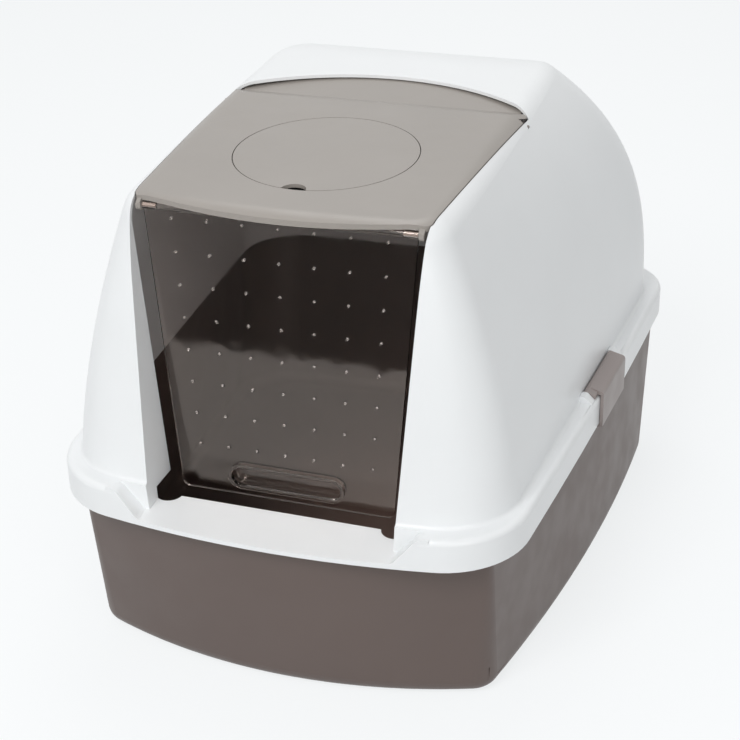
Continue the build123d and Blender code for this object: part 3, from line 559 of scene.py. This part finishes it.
class LITTERBOX_OT_mould_pips(bpy.types.Operator):
    """Moulds the rows of small pips on the outside of the door"""

    bl_idname = "litterbox.mould_pips"
    bl_label = "Mould door pips"

    def execute(self, context):
        settings = context.scene.litterbox_pips
        first_place, *other_places = self.places(settings)
        first = self.model_pip(settings)
        copies = [first]
        for place in other_places:
            bpy.ops.object.select_all(action="DESELECT")
            first.select_set(True)
            context.view_layer.objects.active = first
            bpy.ops.object.duplicate(linked=False)
            copies.append(context.object)
            context.object.location = place
        first.location = first_place
        bpy.ops.object.select_all(action="DESELECT")
        for pip in copies:
            pip.select_set(True)
        context.view_layer.objects.active = first
        bpy.ops.object.join()
        bpy.ops.object.transform_apply(location=True, rotation=True, scale=True)
        pips = context.object
        pips.name = "door_pips"
        pips.data.materials.clear()
        pips.data.materials.append(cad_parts["door"].material_slots[0].material)
        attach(pips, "door")
        return {"FINISHED"}

    def model_pip(self, settings):
        """One pip: a disc that is pulled up into a low dome and faces out of the door."""
        bpy.ops.object.select_all(action="DESELECT")
        bpy.ops.mesh.primitive_cylinder_add(
            vertices=12,
            radius=settings.radius,
            depth=settings.height,
            location=(0, 0, 0),
            rotation=(math.pi / 2 - DOOR_HANG, 0, 0),
        )
        pip = bpy.context.object
        bpy.ops.object.mode_set(mode="EDIT")
        bpy.ops.mesh.select_mode(type="FACE")
        bpy.ops.mesh.select_all(action="DESELECT")
        bpy.ops.object.mode_set(mode="OBJECT")
        for face in pip.data.polygons:
            face.select = face.normal.z > 0.9
        bpy.ops.object.mode_set(mode="EDIT")
        bpy.ops.mesh.bevel(offset=settings.height * PIP_BEVEL, segments=3, affect="EDGES")
        bpy.ops.object.mode_set(mode="OBJECT")
        bpy.ops.object.shade_smooth()
        return pip

    def places(self, settings):
        """The middle of each pip, row by row down the outer face of the door."""
        down = Vector((0, -math.sin(DOOR_HANG), -math.cos(DOOR_HANG)))
        out = Vector((0, -math.cos(DOOR_HANG), math.sin(DOOR_HANG)))
        places = []
        for row in range(settings.rows):
            share = row / (settings.rows - 1)
            half = settings.top_half + (settings.foot_half - settings.top_half) * share
            drop = settings.first_row + row * settings.row_pitch
            for column in range(settings.columns):
                across = half * (2 * column / (settings.columns - 1) - 1)
                place = DOOR_AXIS + Vector((across, 0, 0)) + down * drop
                places.append(place + out * (DOOR_FACE + settings.height * (0.5 - PIP_SUNK)))
        return places


class LITTERBOX_OT_build_studio(bpy.types.Operator):
    """Builds the floor, the even light, the softboxes and the camera at the photograph's angle"""

    bl_idname = "litterbox.build_studio"
    bl_label = "Build studio"

    def execute(self, context):
        studio = context.scene.litterbox_studio
        self.lay_floor(studio)
        self.light_world(context, studio)
        self.hang_softboxes(studio)
        self.place_camera(context, studio)
        context.scene.view_settings.view_transform = "Standard"
        return {"FINISHED"}

    def lay_floor(self, studio):
        """A round of paper under the box, far wider than the view."""
        bpy.ops.object.select_all(action="DESELECT")
        bpy.ops.mesh.primitive_circle_add(
            vertices=96, radius=FLOOR_RADIUS, fill_type="NGON", location=(0, 0, 0)
        )
        floor = bpy.context.object
        floor.name = "studio_floor"
        floor.data.materials.append(backdrop_material("Matt backdrop paper", studio.backdrop))

    def light_world(self, context, studio):
        """Even light all round, which the camera, reflections and clear plastic see as the backdrop."""
        world = bpy.data.worlds.new("Studio")
        world.use_nodes = True
        tree = world.node_tree
        tree.nodes.clear()
        path = add_node(tree, "ShaderNodeLightPath")
        ambient = add_node(
            tree, "ShaderNodeBackground", {"Color": (1, 1, 1, 1), "Strength": studio.ambient}
        )
        backdrop = add_node(
            tree, "ShaderNodeBackground", {"Color": shaded(studio.backdrop, 1.0), "Strength": 1.0}
        )
        mixed = add_node(
            tree,
            "ShaderNodeMixShader",
            {
                "Fac": direct_view(tree, path),
                1: ambient.outputs["Background"],
                2: backdrop.outputs["Background"],
            },
        )
        add_node(tree, "ShaderNodeOutputWorld", {"Surface": mixed.outputs["Shader"]})
        context.scene.world = world

    def hang_softboxes(self, studio):
        """A softbox at the front left, a weaker one at the front right and one above."""
        lamps = (
            ("fill_softbox", FILL_PLACE, studio.fill_power),
            ("key_softbox", KEY_PLACE, studio.key_power),
            ("top_softbox", TOP_PLACE, studio.top_power),
        )
        for name, place, power in lamps:
            aim = BOX_MIDDLE - place
            bpy.ops.object.light_add(
                type="AREA", location=place, rotation=aim.to_track_quat("-Z", "Y").to_euler()
            )
            lamp = bpy.context.object
            lamp.name = name
            lamp.data.size = SOFTBOX_WIDTH
            lamp.data.energy = power

    def place_camera(self, context, studio):
        """Sets the camera at the photograph's angle, distance and tilt."""
        turn = (
            Matrix.Rotation(studio.azimuth, 4, "Z")
            @ Matrix.Rotation(math.pi / 2 - studio.elevation, 4, "X")
            @ Matrix.Rotation(studio.roll, 4, "Z")
        )
        aim = Vector((0, -studio.aim_forward, studio.aim_height))
        back = turn @ Vector((0, 0, studio.distance))
        bpy.ops.object.camera_add()
        camera = bpy.context.object
        camera.name = "photo_camera"
        camera.matrix_world = Matrix.Translation(aim + back) @ turn
        camera.data.sensor_fit = "HORIZONTAL"
        camera.data.sensor_width = 36
        camera.data.lens = studio.lens
        camera.data.clip_start = 0.05
        camera.data.clip_end = 50
        context.scene.camera = camera


class LITTERBOX_PT_panel(bpy.types.Panel):
    """Lists the steps that finish the litter box"""

    bl_idname = "LITTERBOX_PT_panel"
    bl_label = "Litter Box"
    bl_space_type = "VIEW_3D"
    bl_region_type = "UI"
    bl_category = "Litter Box"

    def draw(self, context):
        layout = self.layout
        for settings in SETTINGS:
            group = getattr(context.scene, settings)
            box = layout.box()
            for name in group.bl_rna.properties.keys():
                if name not in ("rna_type", "name"):
                    box.prop(group, name)
        for operator in OPERATORS:
            layout.operator(operator.bl_idname)


SETTINGS = {
    "litterbox_colours": LitterBoxColours,
    "litterbox_grain": LitterBoxGrain,
    "litterbox_pips": LitterBoxPips,
    "litterbox_studio": LitterBoxStudio,
}
OPERATORS = (
    LITTERBOX_OT_finish_pan,
    LITTERBOX_OT_finish_hood,
    LITTERBOX_OT_finish_panel,
    LITTERBOX_OT_finish_filter,
    LITTERBOX_OT_finish_door,
    LITTERBOX_OT_finish_clips,
    LITTERBOX_OT_mould_pips,
    LITTERBOX_OT_build_studio,
)


def register():
    for settings, group in SETTINGS.items():
        bpy.utils.register_class(group)
        setattr(bpy.types.Scene, settings, PointerProperty(type=group))
    for operator in OPERATORS:
        bpy.utils.register_class(operator)
    bpy.utils.register_class(LITTERBOX_PT_panel)


def unregister():
    bpy.utils.unregister_class(LITTERBOX_PT_panel)
    for operator in reversed(OPERATORS):
        bpy.utils.unregister_class(operator)
    for settings, group in reversed(SETTINGS.items()):
        delattr(bpy.types.Scene, settings)
        bpy.utils.unregister_class(group)


def main():
    """Registers the classes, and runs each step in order."""
    register()
    bpy.ops.litterbox.finish_pan()
    bpy.ops.litterbox.finish_hood()
    bpy.ops.litterbox.finish_panel()
    bpy.ops.litterbox.finish_filter()
    bpy.ops.litterbox.finish_door()
    bpy.ops.litterbox.finish_clips()
    bpy.ops.litterbox.mould_pips()
    bpy.ops.litterbox.build_studio()


if __name__ == "__main__":
    main()
